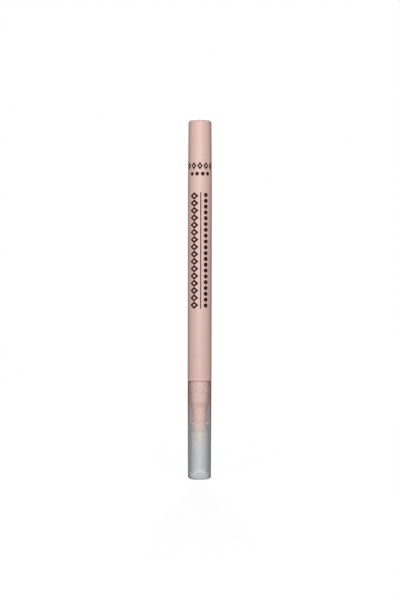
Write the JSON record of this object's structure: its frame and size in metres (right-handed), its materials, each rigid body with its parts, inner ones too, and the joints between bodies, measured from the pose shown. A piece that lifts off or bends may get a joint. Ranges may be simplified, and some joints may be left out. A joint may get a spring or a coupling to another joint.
{
  "type": "felt-tip nail care pen",
  "caption": "Slim cosmetic pen standing on its pull-off translucent cap: tapered pink barrel with end plug, fibre reservoir, flanged nib holder, slanted felt nib and a seal cup in the cap.",
  "frame": {"origin": "middle of the cap's flat closed end, on which the pen stands", "axes": "+Z along the pen's axis, from the cap's closed end up to the tail; X and Y across the round barrel, with the nib's long edge at +X"},
  "size_m": [0.0094, 0.0094, 0.14],
  "materials": {
    "pink_polypropylene": "satin moulded polypropylene, dusty pink",
    "frosted_polypropylene": "frosted translucent polypropylene, uncoloured",
    "natural_polyethylene": "natural, milky polyethylene",
    "nib_felt": "bonded polyester felt, ground to shape, damp with oil",
    "fibre_wadding": "lengthwise polyester fibre",
    "clear_film": "clear polypropylene film"
  },
  "bodies": {
    "barrel": {"barrel": "pink_polypropylene", "end_plug": "pink_polypropylene", "front_section": "pink_polypropylene", "nib": "nib_felt", "reservoir_core": "fibre_wadding", "reservoir_film": "clear_film"},
    "cap": {"cap_shell": "frosted_polypropylene", "inner_cap": "natural_polyethylene"}
  },
  "joints": [
    {"name": "cap_pull", "type": "slide", "parent": "barrel", "child": "cap", "axis": [0, 0, -1], "range_m": [0, 0.045]}
  ]
}
